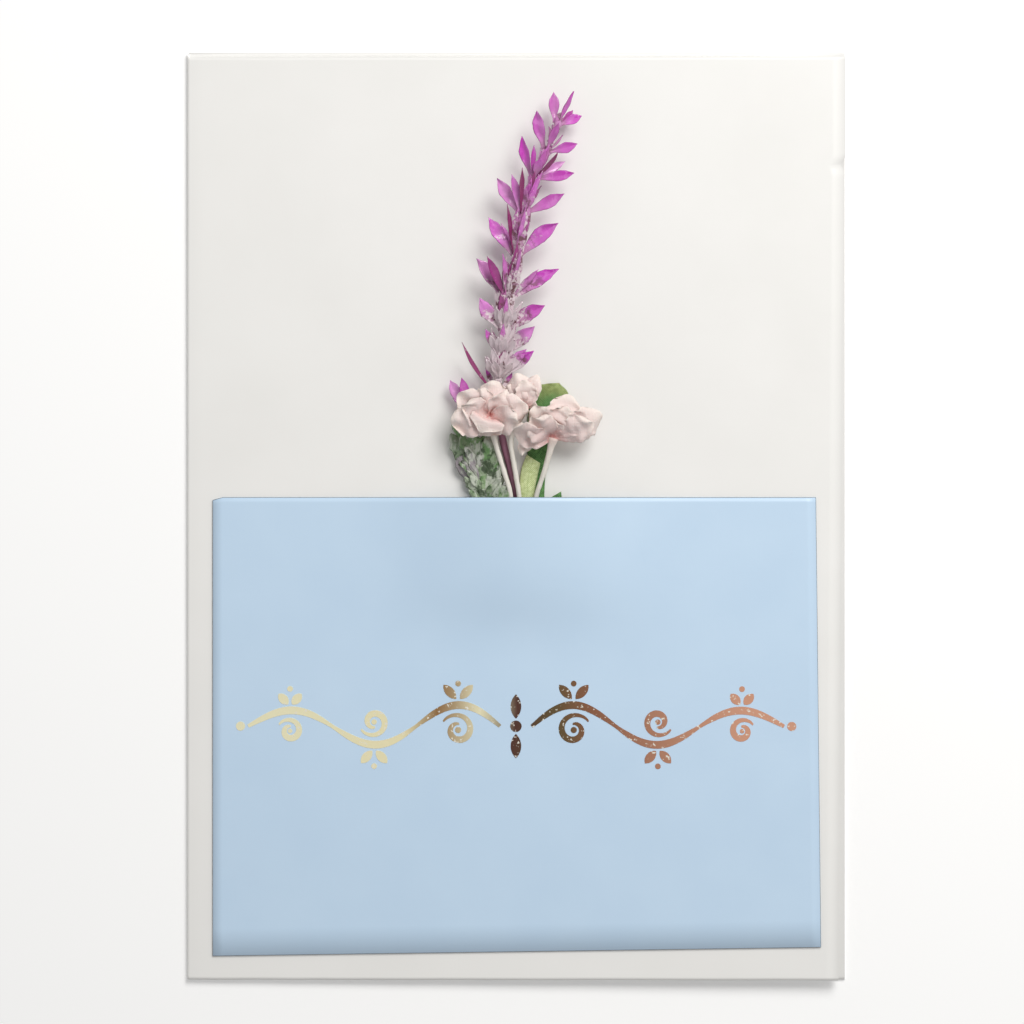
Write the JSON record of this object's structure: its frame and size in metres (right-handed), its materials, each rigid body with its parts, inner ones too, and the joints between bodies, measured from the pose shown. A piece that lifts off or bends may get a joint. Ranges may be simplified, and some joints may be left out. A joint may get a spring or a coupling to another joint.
{
  "type": "greeting card",
  "caption": "Folded white greeting card with a pale-blue front pocket, a foil scroll ornament and a small spray of artificial flowers tucked in the pocket.",
  "frame": {"origin": "centre of the closed card's outline, on the face that the card lies on", "axes": "+X to the card's free edge, +Y to its top edge, +Z out of its front"},
  "size_m": [0.105, 0.148, 0.0094],
  "materials": {
    "white_card": "white coated card, satin",
    "blue_paper": "pale blue coated paper, glossy",
    "clear_tape": "double-sided tape",
    "gold_foil": "bright stamped foil",
    "spike_wire": "plastic-coated wire",
    "purple_bract": "moulded plastic with a frosted foot",
    "frosted_green": "frosted moulded plastic",
    "pink_paper": "crinkled mulberry paper",
    "cream_paper": "paper-wrapped wire",
    "woven_leaf": "woven green cloth",
    "pale_leaf_cloth": "woven yellow-green cloth",
    "floral_tape": "waxed crepe tape"
  },
  "bodies": {
    "root": {"card": "white_card", "pocket_sheet": "blue_paper", "pocket_tape_left": "clear_tape", "pocket_tape_right": "clear_tape", "pocket_tape_bottom": "clear_tape", "foil_ornament": "gold_foil", "spike_stem": "spike_wire", "side_sprig": "frosted_green", "side_floret": "purple_bract", "fabric_leaf": "woven_leaf", "pale_leaf": "pale_leaf_cloth", "small_leaf": "woven_leaf", "stem_wrap": "floral_tape", "spike_whorl_01": "purple_bract", "spike_whorl_02": "purple_bract", "spike_whorl_03": "purple_bract", "spike_whorl_04": "purple_bract", "spike_whorl_05": "purple_bract", "spike_whorl_06": "purple_bract", "spike_whorl_07": "purple_bract", "spike_whorl_08": "purple_bract", "spike_whorl_09": "purple_bract", "spike_whorl_10": "purple_bract", "left_flower_outer": "pink_paper", "left_flower_inner": "pink_paper", "left_flower_stem": "cream_paper", "back_flower_outer": "pink_paper", "back_flower_inner": "pink_paper", "back_flower_stem": "cream_paper", "right_flower_outer": "pink_paper", "right_flower_inner": "pink_paper", "right_flower_stem": "cream_paper"}
  },
  "joints": []
}
